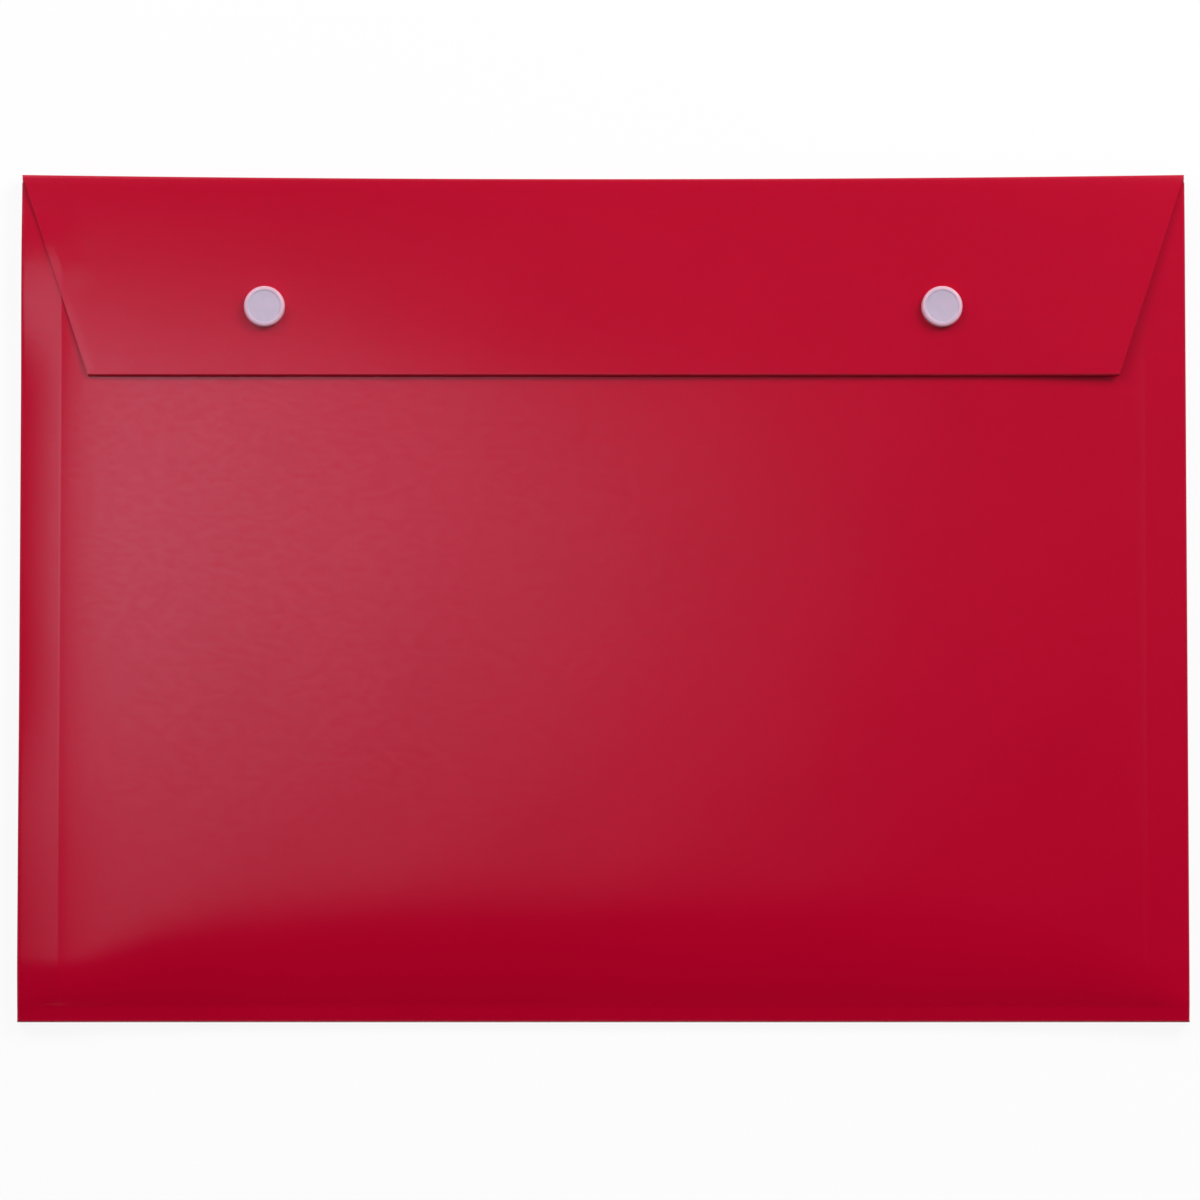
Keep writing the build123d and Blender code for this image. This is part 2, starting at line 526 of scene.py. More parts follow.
def rungs(first: float, last: float, pitch: float) -> list[float]:
    """Evenly spaced stations.

    Args:
        first: Where they begin.
        last: Where they end.
        pitch: Largest distance between two.

    Returns:
        The stations, both ends included.
    """
    count = max(1, math.ceil((last - first) / pitch))
    return [first + (last - first) * i / count for i in range(count + 1)]


# Mesh tools


@dataclass(frozen=True)
class Corner:
    """A corner of a folded line: where its straight runs would meet, and the radius it is bent to."""

    across: float
    height: float
    radius: float = 0.0
    steps: int = 6

    @property
    def place(self) -> Vector:
        """The corner in the upright plane of X and Z."""
        return Vector((self.across, 0.0, self.height))


@dataclass(frozen=True)
class FoldedLine:
    """A line of straight runs and round bends in the upright plane of X and Z."""

    corners: Sequence[Corner]

    def draw(self, bm: BMesh) -> None:
        """Draws the line, extruding along its runs and spinning round its bends.

        Args:
            bm: An empty mesh.
        """
        tip = bm.verts.new(self.corners[0].place)
        for before, bend, after in zip(self.corners, self.corners[1:], self.corners[2:]):
            arrive = (bend.place - before.place).normalized()
            leave = (after.place - bend.place).normalized()
            turn = arrive.angle(leave)
            tip = self._run(bm, tip, bend.place - arrive * bend.radius * math.tan(turn / 2))
            if bend.radius:
                axis = arrive.cross(leave).normalized()
                centre = tip.co + axis.cross(arrive) * bend.radius
                made = bmesh.ops.spin(bm, geom=[tip], cent=centre, axis=axis, angle=turn, steps=bend.steps)
                tip = next(item for item in made["geom_last"] if isinstance(item, BMVert))
        self._run(bm, tip, self.corners[-1].place)

    @staticmethod
    def _run(bm: BMesh, tip: BMVert, end: Vector) -> BMVert:
        """Extrudes the line's tip to a point, unless it is there already.

        Args:
            bm: The mesh that holds the line.
            tip: The line's last vertex.
            end: The point.

        Returns:
            The vertex at the point.
        """
        if (end - tip.co).length < CUT_TOLERANCE:
            return tip
        reached = bmesh.ops.extrude_vert_indiv(bm, verts=[tip])["verts"][0]
        reached.co = end
        return reached


def everything(bm: BMesh) -> list:
    """All the geometry of a mesh."""
    return [*bm.verts, *bm.edges, *bm.faces]


def sweep(line: FoldedLine, half_span: float, travel: Travel) -> BMesh:
    """Sweeps a folded line straight across the wallet.

    Args:
        line: The line.
        half_span: Half the width of the sheet.
        travel: Which way the line runs.

    Returns:
        The open sheet, one face wide.
    """
    bm = bmesh.new()
    line.draw(bm)
    bmesh.ops.translate(bm, verts=list(bm.verts), vec=(0.0, -half_span, 0.0))
    made = bmesh.ops.extrude_edge_only(bm, edges=list(bm.edges))["geom"]
    fresh = [item for item in made if isinstance(item, BMVert)]
    bmesh.ops.translate(bm, verts=fresh, vec=(0.0, 2 * half_span, 0.0))
    bmesh.ops.rotate(bm, verts=list(bm.verts), cent=(0.0, 0.0, 0.0), matrix=travel.turn)
    return bm


def score(bm: BMesh, direction: Vector, stations: Iterable[float]) -> None:
    """Divides a sheet with straight rows of edges.

    Args:
        bm: The sheet.
        direction: Unit vector along which the rows are counted.
        stations: Where the rows go.
    """
    for station in stations:
        bmesh.ops.bisect_plane(
            bm,
            geom=everything(bm),
            dist=CUT_TOLERANCE,
            plane_co=direction * station,
            plane_no=direction,
        )


def face_outwards(bm: BMesh, inside: Vector) -> None:
    """Turns an open sheet's faces away from a point inside its fold.

    Args:
        bm: The sheet.
        inside: A point that the sheet folds round.
    """
    bmesh.ops.recalc_face_normals(bm, faces=list(bm.faces))
    widest = max(bm.faces, key=lambda face: face.calc_area())
    if widest.normal.dot(widest.calc_center_median() - inside) < 0:
        bmesh.ops.reverse_faces(bm, faces=list(bm.faces))


def thicken(bm: BMesh, thickness: float, eased: float = 0.1 * MM) -> None:
    """Gives a sheet its thickness, inwards from its outer face, and eases its cut edges.

    Args:
        bm: The open sheet, facing outwards.
        thickness: Its thickness.
        eased: Width of the small rounding along its cut edges.
    """
    bmesh.ops.solidify(bm, geom=everything(bm), thickness=thickness)
    cut = [edge for edge in bm.edges if edge.is_manifold and edge.calc_face_angle() > CUT_EDGE_ANGLE]
    bmesh.ops.bevel(
        bm, geom=cut, offset=eased, segments=2, profile=0.5, affect="EDGES", material=-1, clamp_overlap=True
    )


def paint(bm: BMesh, layer: str, value: Callable[[Vector], float]) -> None:
    """Paints a value on every vertex.

    Args:
        bm: The mesh.
        layer: The layer's name.
        value: The value at a point.
    """
    store = bm.verts.layers.float.new(layer)
    for vert in bm.verts:
        vert[store] = value(vert.co)


def to_object(bm: BMesh, name: str, material: bpy.types.Material) -> bpy.types.Object:
    """Turns a finished mesh into an object of the scene.

    Args:
        bm: The mesh, which is freed.
        name: The object's name.
        material: Its finish.

    Returns:
        The object, at the origin.
    """
    mesh = bpy.data.meshes.new(name)
    bm.to_mesh(mesh)
    bm.free()
    mesh.materials.append(material)
    made = bpy.data.objects.new(name, mesh)
    bpy.context.scene.collection.objects.link(made)
    return made


def to_piece(bm: BMesh, name: str, material: bpy.types.Material) -> bpy.types.Object:
    """Turns a finished mesh into a piece of the wallet, shaded smooth up to its sharp edges.

    Args:
        bm: The mesh, which is freed.
        name: The piece's name.
        material: Its finish.

    Returns:
        The piece, at the origin.
    """
    for face in bm.faces:
        face.smooth = True
    for edge in bm.edges:
        edge.smooth = not edge.is_manifold or edge.calc_face_angle() < SHARP_ANGLE
    piece = to_object(bm, name, material)
    log.info("piece %s: %d faces", name, len(piece.data.polygons))
    return piece


# Sheets


@dataclass
class BackSheet:
    """The back panel with the lower fold of the top spine, which turns from the pocket to the spine."""

    sizes: FrameSizes
    material: bpy.types.Material
    crease_radius: float = 0.6 * MM
    crease_band: float = 3.0 * MM
    crease_fade: float = 2.0 * MM
    seam_level: float = 2.0 * MM
    turn_start: float = 0.6 * MM
    turn_end: float = 1.6 * MM
    pitch: float = 12.0 * MM

    def build(self) -> None:
        """Makes the sheet and bakes its place into its mesh."""
        sizes = self.sizes
        foot = -sizes.half_height + sizes.fold_reach
        corner, seam = spine_corner(sizes, 0.0), spine_corner(sizes, self.seam_level)
        bend = Corner(corner.y, 0.0, self.crease_radius, steps=12)
        line = FoldedLine([Corner(foot, 0.0), bend, Corner(seam.y, seam.z)])
        half_span = sizes.half_width - sizes.fold_reach
        bm = sweep(line, half_span, Travel.ALONG_Y)
        score(bm, ACROSS, rungs(-half_span, half_span, self.pitch)[1:-1])
        score(bm, ALONG, rungs(foot, corner.y - self.crease_band, self.pitch)[1:])
        face_outwards(bm, Vector((0, 0, sizes.front_high.z / 2)))
        for vert in bm.verts:
            vert.co.y -= sizes.bowed(vert.co)
        thicken(bm, sizes.sheet)
        band = corner.y - self.crease_band
        paint(bm, CREASE_LAYER, lambda point: smooth((point.y - band) / self.crease_fade))
        piece = to_piece(bm, "back_sheet", self.material)
        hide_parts("back_panel")
        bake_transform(piece)


def spine_corner(sizes: FrameSizes, level: float) -> Vector:
    """Point on the outer face of the top spine.

    Args:
        sizes: The wallet's sizes.
        level: Height above the table.

    Returns:
        The point, at mid-width.
    """
    rise = (sizes.spine_head - sizes.spine_foot).normalized()
    outward = Vector((0.0, rise.z, -rise.y))
    outer = sizes.spine_foot + outward * sizes.sheet / 2
    return outer + rise * (level - outer.z) / rise.z


@dataclass(frozen=True)
class Margin:
    """How the tab below one side of the front panel shows: a step, and a slope from it to the outline."""

    step: float
    fade: float
    slope: float
    bend: float


@dataclass(frozen=True)
class Stretch:
    """A length of the wallet over which something sets in."""

    start: float
    run: float
    full: float = 1.0

    def share(self, y: float) -> float:
        """Smooth share, 0 at the start and full at the end of the run."""
        return self.full * smooth((y - self.start) / self.run)


@dataclass(frozen=True)
class Ripple:
    """The faint waves of a large sheet."""

    height: float = 0.03 * MM
    across: float = 10.0 * MM
    along: float = 15.0 * MM
    sway: float = 1.3
    sway_length: float = 23.0 * MM
    phase: float = 0.8

    def at(self, x: float, y: float) -> float:
        """Height of the waves at a place."""
        sideways = math.sin(x / self.across + self.sway * math.sin(y / self.sway_length))
        return self.height * (sideways * math.sin(y / self.along + self.phase))


@dataclass(frozen=True)
class PanelForm:
    """How the front panel's outer face stands above the table."""

    sizes: FrameSizes
    foot_sink: float = 3.9 * MM
    sink_power: int = 3
    corner_rise: float = 2.3 * MM
    rise_power: int = 6
    foot_run: float = 50.0 * MM
    corner_run: float = 7.0 * MM
    run_power: float = 3.5
    lip: float = 4.2 * MM
    lip_slope: float = 0.11
    edge_round: float = 0.5 * MM
    edge_turn: float = 0.9
    ripple: Ripple = Ripple()
    left: Margin = Margin(0.90 * MM, 6.5 * MM, 0.064, 4.3)
    right: Margin = Margin(0.22 * MM, 3.0 * MM, 0.008, 0.4)
    tab_foot_run: float = 18.0 * MM
    tab_head: Stretch = Stretch(98.0 * MM, 20.0 * MM)
    head_ease: Stretch = Stretch(58.0 * MM, 30.0 * MM, 0.65)
    foot_ease: Stretch = Stretch(-20.0 * MM, -50.0 * MM, 0.35)

    @property
    def foot(self) -> float:
        """Where the panel's crease runs along its foot."""
        return -self.sizes.half_height + self.sizes.inset_line(self.sizes.front_low.z)

    @property
    def half_span(self) -> float:
        """Half the panel's width."""
        return self.sizes.front_high.x

    def height(self, x: float, y: float) -> float:
        """Height of the panel's outer face.

        Args:
            x: Place across.
            y: Place along.

        Returns:
            Height above the table.
        """
        beside = min(abs(x), self.half_span)
        aside = beside / self.half_span
        run = self.corner_run + (self.foot_run - self.corner_run) * (1 - aside**self.run_power)
        up = max(0.0, y - self.foot)
        fall = (1 - min(1.0, max(self.lip, up) / run)) ** self.sink_power
        sink = self.foot_sink - self.corner_rise * aside**self.rise_power
        full = self.sizes.front_high.z + self._over_tab(x, y, beside) + self.ripple.at(x, y)
        return full - sink * fall - self.lip_slope * max(0.0, self.lip - up)

    def _over_tab(self, x: float, y: float, beside: float) -> float:
        """How far the panel is pushed up by a tab, or falls beyond it.

        Args:
            x: Place across.
            y: Place along.
            beside: Distance from the wallet's middle line.

        Returns:
            Height above the flat panel.
        """
        margin = self.left if x < 0 else self.right
        past = beside - self.sizes.tab_low.x
        shown = smooth((y - self.foot) / self.tab_foot_run) * (1 - self.tab_head.share(y))
        step = margin.step * math.exp(min(0.0, past) / margin.fade) * shown
        out = max(0.0, past)
        lean = 1 - self.head_ease.share(y) - self.foot_ease.share(y)
        in_edge = max(0.0, beside - self.half_span + self.edge_round)
        rounded = self.edge_round - math.sqrt(self.edge_round**2 - self.edge_turn * in_edge**2)
        return step - lean * (margin.slope * out + margin.bend * out**2) - rounded


@dataclass
class FrontSheet:
    """The bottom spine and the front panel above it."""

    sizes: FrameSizes
    form: PanelForm
    material: bpy.types.Material
    crease_radius: float = 0.5 * MM
    crease_band: float = 1.5 * MM
    mitre_gap: float = 0.15 * MM
    fade_reach: float = 4.0
    fade_pitch: float = 1.1 * MM
    fade_end: float = 3.0 * MM
    crest_run: float = 2.5 * MM
    crest_pitch: float = 0.5 * MM
    margin_start: float = 0.4 * MM
    margin_pitch: float = 0.7 * MM
    edge_shares: tuple[float, ...] = (1.0, 0.7, 0.4, 0.2)
    middle_pitch: float = 8.0 * MM
    foot_band: float = 9.0 * MM
    foot_pitch: float = 0.6 * MM
    rise_start: float = 10.0 * MM
    rise_pitch: float = 2.0 * MM
    flat_pitch: float = 6.0 * MM

    def build(self) -> None:
        """Makes the sheet and fixes it to the pocket."""
        sizes, foot, level = self.sizes, self.form.foot, self.sizes.front_low.z
        outline, mouth = -sizes.half_height, sizes.front_high.y
        fold = Corner(outline + sizes.inset_line(0.0), 0.0, sizes.fold_reach, steps=14)
        crease = Corner(foot, level, self.crease_radius, steps=8)
        line = FoldedLine([Corner(outline + sizes.fold_reach, 0.0), fold, crease, Corner(mouth, level)])
        bm = sweep(line, self.form.half_span, Travel.ALONG_Y)
        score(bm, ACROSS, self._columns())
        score(bm, ALONG, self._rows())
        face_outwards(bm, Vector((0, 0, level / 2)))
        for vert in bm.verts:
            self._shape(vert)
        thicken(bm, sizes.sheet)
        paint(bm, CREASE_LAYER, lambda point: smooth(1 - abs(point.y - foot) / self.crease_band))
        piece = to_piece(bm, "front_sheet", self.material)
        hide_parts("front_panel", "bottom_spine")
        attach(piece, Body.POCKET.value)

    def _columns(self) -> list[float]:
        """Stations across the panel, closest over the welded tabs and at the sides.

        Returns:
            The stations in order.
        """
        form, ridge = self.form, self.sizes.tab_low.x
        fade = rungs(ridge - self.fade_reach * form.left.fade, ridge - self.fade_end, self.fade_pitch)
        crest = rungs(ridge - self.crest_run, ridge, self.crest_pitch)
        edge = [form.half_span - share * form.edge_round for share in self.edge_shares]
        beyond = rungs(ridge + self.margin_start, edge[0], self.margin_pitch)
        margin = fade + crest + beyond + edge[1:]
        inner = fade[0] - self.middle_pitch
        middle = rungs(-inner, inner, self.middle_pitch)
        return sorted({*middle, *margin, *(-x for x in margin)})

    def _rows(self) -> list[float]:
        """Stations along the panel, closest at its foot.

        Returns:
            The stations from the foot to the mouth.
        """
        foot, flat = self.form.foot, self.flat_pitch
        low = rungs(foot + self.foot_pitch, foot + self.foot_band, self.foot_pitch)
        rise = rungs(foot + self.rise_start, foot + self.form.foot_run + flat, self.rise_pitch)
        return low + rise + rungs(rise[-1] + flat, self.sizes.front_high.y, flat)[:-1]

    def _shape(self, vert: BMVert) -> None:
        """Mitres the spine's ends, lifts it towards its corners and swells the panel.

        Args:
            vert: A vertex of the flat-fronted sheet.
        """
        sizes, form, point = self.sizes, self.form, vert.co
        drawn = sizes.front_low.z
        if point.z < drawn - MERGE_DISTANCE:
            share = max(0.0, (point.z - sizes.fold_end) / (drawn - sizes.fold_end))
            lift = form.height(point.x, form.foot) - drawn
            point.x *= (sizes.half_width - sizes.inset(point.z) - self.mitre_gap) / form.half_span
            point.z += share * lift
            return
        point.z = form.height(point.x, point.y)
        point.y -= sizes.bowed(point)


@dataclass
class SideStrip:
    """One side wall and the tab that is welded under the front panel's margin."""

    sizes: FrameSizes
    form: PanelForm
    material: bpy.types.Material
    side: Side
    head_radius: float = 0.4 * MM
    tab_clearance: float = 0.1 * MM
    tab_taper: float = 12.0 * MM
    tab_pitch: float = 1.0 * MM
    mitre_gap: float = 0.15 * MM
    spine_gap: float = 0.3 * MM
    foot_band: float = 30.0 * MM
    foot_pitch: float = 2.0 * MM
    pitch: float = 10.0 * MM

    @property
    def head(self) -> float:
        """Height of the wall along the flat part of the panel."""
        return self.sizes.tab_high.z - self.tab_clearance

    def build(self) -> None:
        """Makes the strip and fixes it to the pocket."""
        sizes = self.sizes
        foot, outline, head = -sizes.half_height, sizes.half_width, self.head
        fold = Corner(outline - sizes.inset_line(0.0), 0.0, sizes.fold_reach, steps=14)
        crease = Corner(outline - sizes.inset_line(head), head, self.head_radius, steps=4)
        start, end = Corner(outline - sizes.fold_reach, 0.0), Corner(sizes.tab_low.x, head)
        line = FoldedLine([start, fold, crease, end])
        bm = sweep(line, sizes.half_height, Travel.ALONG_X)
        score(bm, ALONG, rungs(foot, foot + self.foot_band, self.foot_pitch)[1:])
        score(bm, ALONG, rungs(foot + (self.foot_band + self.pitch), sizes.half_height, self.pitch)[:-1])
        score(bm, ACROSS, rungs(sizes.tab_low.x, sizes.tab_high.x - self.tab_pitch, self.tab_pitch)[1:])
        face_outwards(bm, Vector((0, 0, head / 2)))
        for vert in bm.verts:
            self._trim(vert)
        if self.side is Side.LEFT:
            bmesh.ops.scale(bm, verts=list(bm.verts), vec=(-1, 1, 1))
            bmesh.ops.reverse_faces(bm, faces=list(bm.faces))
        thicken(bm, sizes.sheet)
        paint(bm, CREASE_LAYER, lambda point: 0.0)
        piece = to_piece(bm, f"{self.side.word}_side_strip", self.material)
        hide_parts(f"{self.side.word}_side_wall", f"{self.side.word}_weld_tab")
        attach(piece, Body.POCKET.value)

    def _trim(self, vert: BMVert) -> None:
        """Cuts the strip to its mitred foot, mouth end and tab, and fits it below the panel.

        Args:
            vert: A vertex of the full-length strip.
        """
        sizes, point = self.sizes, vert.co
        low = -sizes.half_height + sizes.inset(point.z) + self.mitre_gap
        high = sizes.half_height - self.mitre_gap
        if point.z > sizes.fold_end:
            high = min(high, spine_corner(sizes, point.z).y - sizes.sheet - self.spine_gap)
        wall_head = sizes.half_width - sizes.inset_line(self.head) - self.head_radius
        if point.x < wall_head:
            in_tab = (wall_head - point.x) / (wall_head - sizes.tab_low.x)
            low = sizes.tab_low.y + in_tab * self.tab_taper
            high = sizes.tab_high.y
        share = (point.y + sizes.half_height) / (2 * sizes.half_height)
        point.y = low + share * (high - low)
        if point.z > sizes.fold_end:
            under = self.form.height(self.side.value * point.x, point.y) - sizes.sheet - self.tab_clearance
            stretch = (under - sizes.fold_end) / (self.head - sizes.fold_end)
            point.z = sizes.fold_end + stretch * (point.z - sizes.fold_end)


@dataclass
class FlapSheet:
    """The top spine and the closing flap, which turns from the spine to the flap at its crease."""

    sizes: FrameSizes
    form: PanelForm
    material: bpy.types.Material
    seam_level: float = 2.0 * MM
    crease_radius: float = 0.8 * MM
    crease_out: float = 0.9 * MM
    crease_drop: float = 0.45 * MM
    arch_terms: tuple[tuple[float, int], ...] = ((0.70, 1), (0.30, 10))
    sink: float = 1.0 * MM
    head_inset: float = 0.4 * MM
    foot_inset: float = 19.5 * MM
    corner_radius: float = 0.7 * MM
    right_lift: float = 1.1 * MM
    left_drop: float = 0.10 * MM
    lift_head: float = 100.0 * MM
    middle_lift: float = 0.15 * MM
    curl_run: float = 0.7 * MM
    curl_fall: float = 1.1 * MM
    side_run: float = 3.0 * MM
    side_fall: float = 0.08 * MM
    side_stop: Stretch = Stretch(8.0 * MM, 10.0 * MM)
    rest_gap: float = 0.04 * MM
    rest_stop: float = 6.0 * MM
    held_margin: float = 2.0 * MM
    column_pitch: float = 5.0 * MM
    side_pitch: float = 0.5 * MM
    row_pitch: float = 3.0 * MM
    edge_band: float = 0.5 * MM
    edge_pitch: float = 0.15 * MM
    head_start: float = 9.0 * MM
    head_run: float = 7.0 * MM
    head_pitch: float = 1.0 * MM
    crease_band: float = 3.5 * MM
    crease_fade: float = 2.5 * MM
    turn_start: tuple[float, ...] = (0.0, 0.9 * MM, -2.2 * MM)
    turn_end: tuple[float, ...] = (0.0, -3.2 * MM, 0.6 * MM)

    @property
    def crease(self) -> Vector:
        """Where the outer faces of the spine and the flap meet, with the spine bellied out a little."""
        level = self.sizes.spine_head.z + self.sizes.sheet / 2 - self.crease_drop
        return spine_corner(self.sizes, level) + Vector((0.0, self.crease_out, 0.0))

    def build(self) -> None:
        """Makes the sheet and bakes its place into its mesh."""
        sizes, crease, wide = self.sizes, self.crease, self.sizes.half_width
        edge = sizes.flap_low.y - self.curl_run
        seam = spine_corner(sizes, self.seam_level)
        bend = Corner(crease.y, crease.z, self.crease_radius, steps=8)
        line = FoldedLine([Corner(seam.y, seam.z), bend, Corner(edge, crease.z)])
        bm = sweep(line, wide, Travel.ALONG_Y)
        side = self.side_run - wide
        columns = rungs(-wide, side, self.side_pitch) + rungs(side, wide, self.column_pitch)
        score(bm, ACROSS, sorted(set(columns))[1:-1])
        score(bm, ALONG, self._rows(edge))
        face_outwards(bm, Vector((0, 0.5 * (edge + crease.y), 0)))
        foot = [vert for vert in bm.verts if abs(vert.co.y - edge) < MERGE_DISTANCE]
        corners = [vert for vert in foot if abs(vert.co.x) > wide - MERGE_DISTANCE]
        for vert in bm.verts:
            vert.co.x *= self._half_span(vert.co.y) / wide
        bmesh.ops.bevel(
            bm,
            geom=corners,
            offset=self.corner_radius,
            segments=3,
            profile=0.5,
            affect="VERTICES",
            material=-1,
        )
        for vert in bm.verts:
            vert.co.z += self._arch(vert.co) + self._lift(vert.co) - self._curl(vert.co)
            vert.co.z = self._rested(vert.co)
            vert.co.y -= sizes.bowed(vert.co)
        thicken(bm, sizes.sheet)
        band = crease.y - self.crease_band
        paint(bm, CREASE_LAYER, lambda point: smooth((point.y - band) / self.crease_fade))
        piece = to_piece(bm, "flap_sheet", self.material)
        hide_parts("top_spine", "closing_flap")
        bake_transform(piece)

    def _rows(self, edge: float) -> list[float]:
        """Stations along the flap, closest at its free edge and near its crease.

        Args:
            edge: Where the sheet ends.

        Returns:
            The stations in order, without the edge.
        """
        near, head = self.sizes.flap_low.y + self.edge_band, self.crease.y - self.head_start
        low, middle = rungs(edge, near, self.edge_pitch), rungs(near, head, self.row_pitch)
        return sorted({*low, *middle, *rungs(head, head + self.head_run, self.head_pitch)})[1:]

    def _along(self, y: float) -> float:
        """Share of the way from the flap's free edge to its crease."""
        edge = self.sizes.flap_low.y
        return min(1.0, max(0.0, (y - edge) / (self.crease.y - edge)))

    def _arch(self, point: Vector) -> float:
        """How far the flap arches above its crease, so that it meets the snap caps at their own level.

        Args:
            point: A point on the flat flap.

        Returns:
            Height above the crease.
        """
        rise = (self.sizes.flap_high.z - self.sink - self.crease.z) / self._arched(self.sizes.snap.y)
        return rise * self._arched(point.y)

    def _arched(self, y: float) -> float:
        """Share of the arch's full height."""
        return 1 - sum(weight * self._along(y) ** power for weight, power in self.arch_terms)

    def _lift(self, point: Vector) -> float:
        """How far the flap lifts where no snap holds it down.

        Args:
            point: A point on the flat flap.

        Returns:
            Height, upwards.
        """
        sizes, past, along = self.sizes, self._past(point), self._along(point.y)
        if past > 0:
            loose = self.right_lift * (1 - along**3) if point.x > 0 else self.left_drop * (along - 1)
            return loose * past**2
        free = smooth((self.lift_head - point.y) / (self.lift_head - sizes.flap_low.y))
        between = max(0.0, math.cos(0.5 * math.pi * min(1.0, abs(point.x) / sizes.snap.x)))
        return free * between**2 * self.middle_lift

    def _past(self, point: Vector) -> float:
        """Share of the way from a snap to the flap's side edge."""
        held = self.sizes.cap_high.x + self.held_margin
        return max(0.0, abs(point.x) - held) / (self._half_span(point.y) - held)

    def _rested(self, point: Vector) -> float:
        """Keeps the flap above the front panel.

        Args:
            point: A point on the flap's outer face.

        Returns:
            Its height.
        """
        if point.y > self.crease.y - self.rest_stop:
            return point.z
        resting = self.form.height(point.x, point.y) + self.sizes.sheet + self.rest_gap
        return max(point.z, resting)

    def _curl(self, point: Vector) -> float:
        """How far the die-cut edges turn down, at the free edge and on the left.

        Args:
            point: A point on the flat flap.

        Returns:
            Depth, downwards.
        """
        free = max(0.0, self.sizes.flap_low.y - point.y) / self.curl_run
        inset = point.x + self._half_span(point.y)
        side = max(0.0, 1 - inset / self.side_run) * self.side_stop.share(self.crease.y - point.y)
        return self.curl_fall * free**2 + self.side_fall * side**2

    def _half_span(self, y: float) -> float:
        """Half the width of the tapered flap.

        Args:
            y: Place between the free edge and the top edge.

        Returns:
            Half the width there.
        """
        sizes = self.sizes
        share = (sizes.half_height - y) / (sizes.half_height - sizes.flap_low.y)
        return sizes.half_width - self.head_inset - share * (self.foot_inset - self.head_inset)


# Snaps


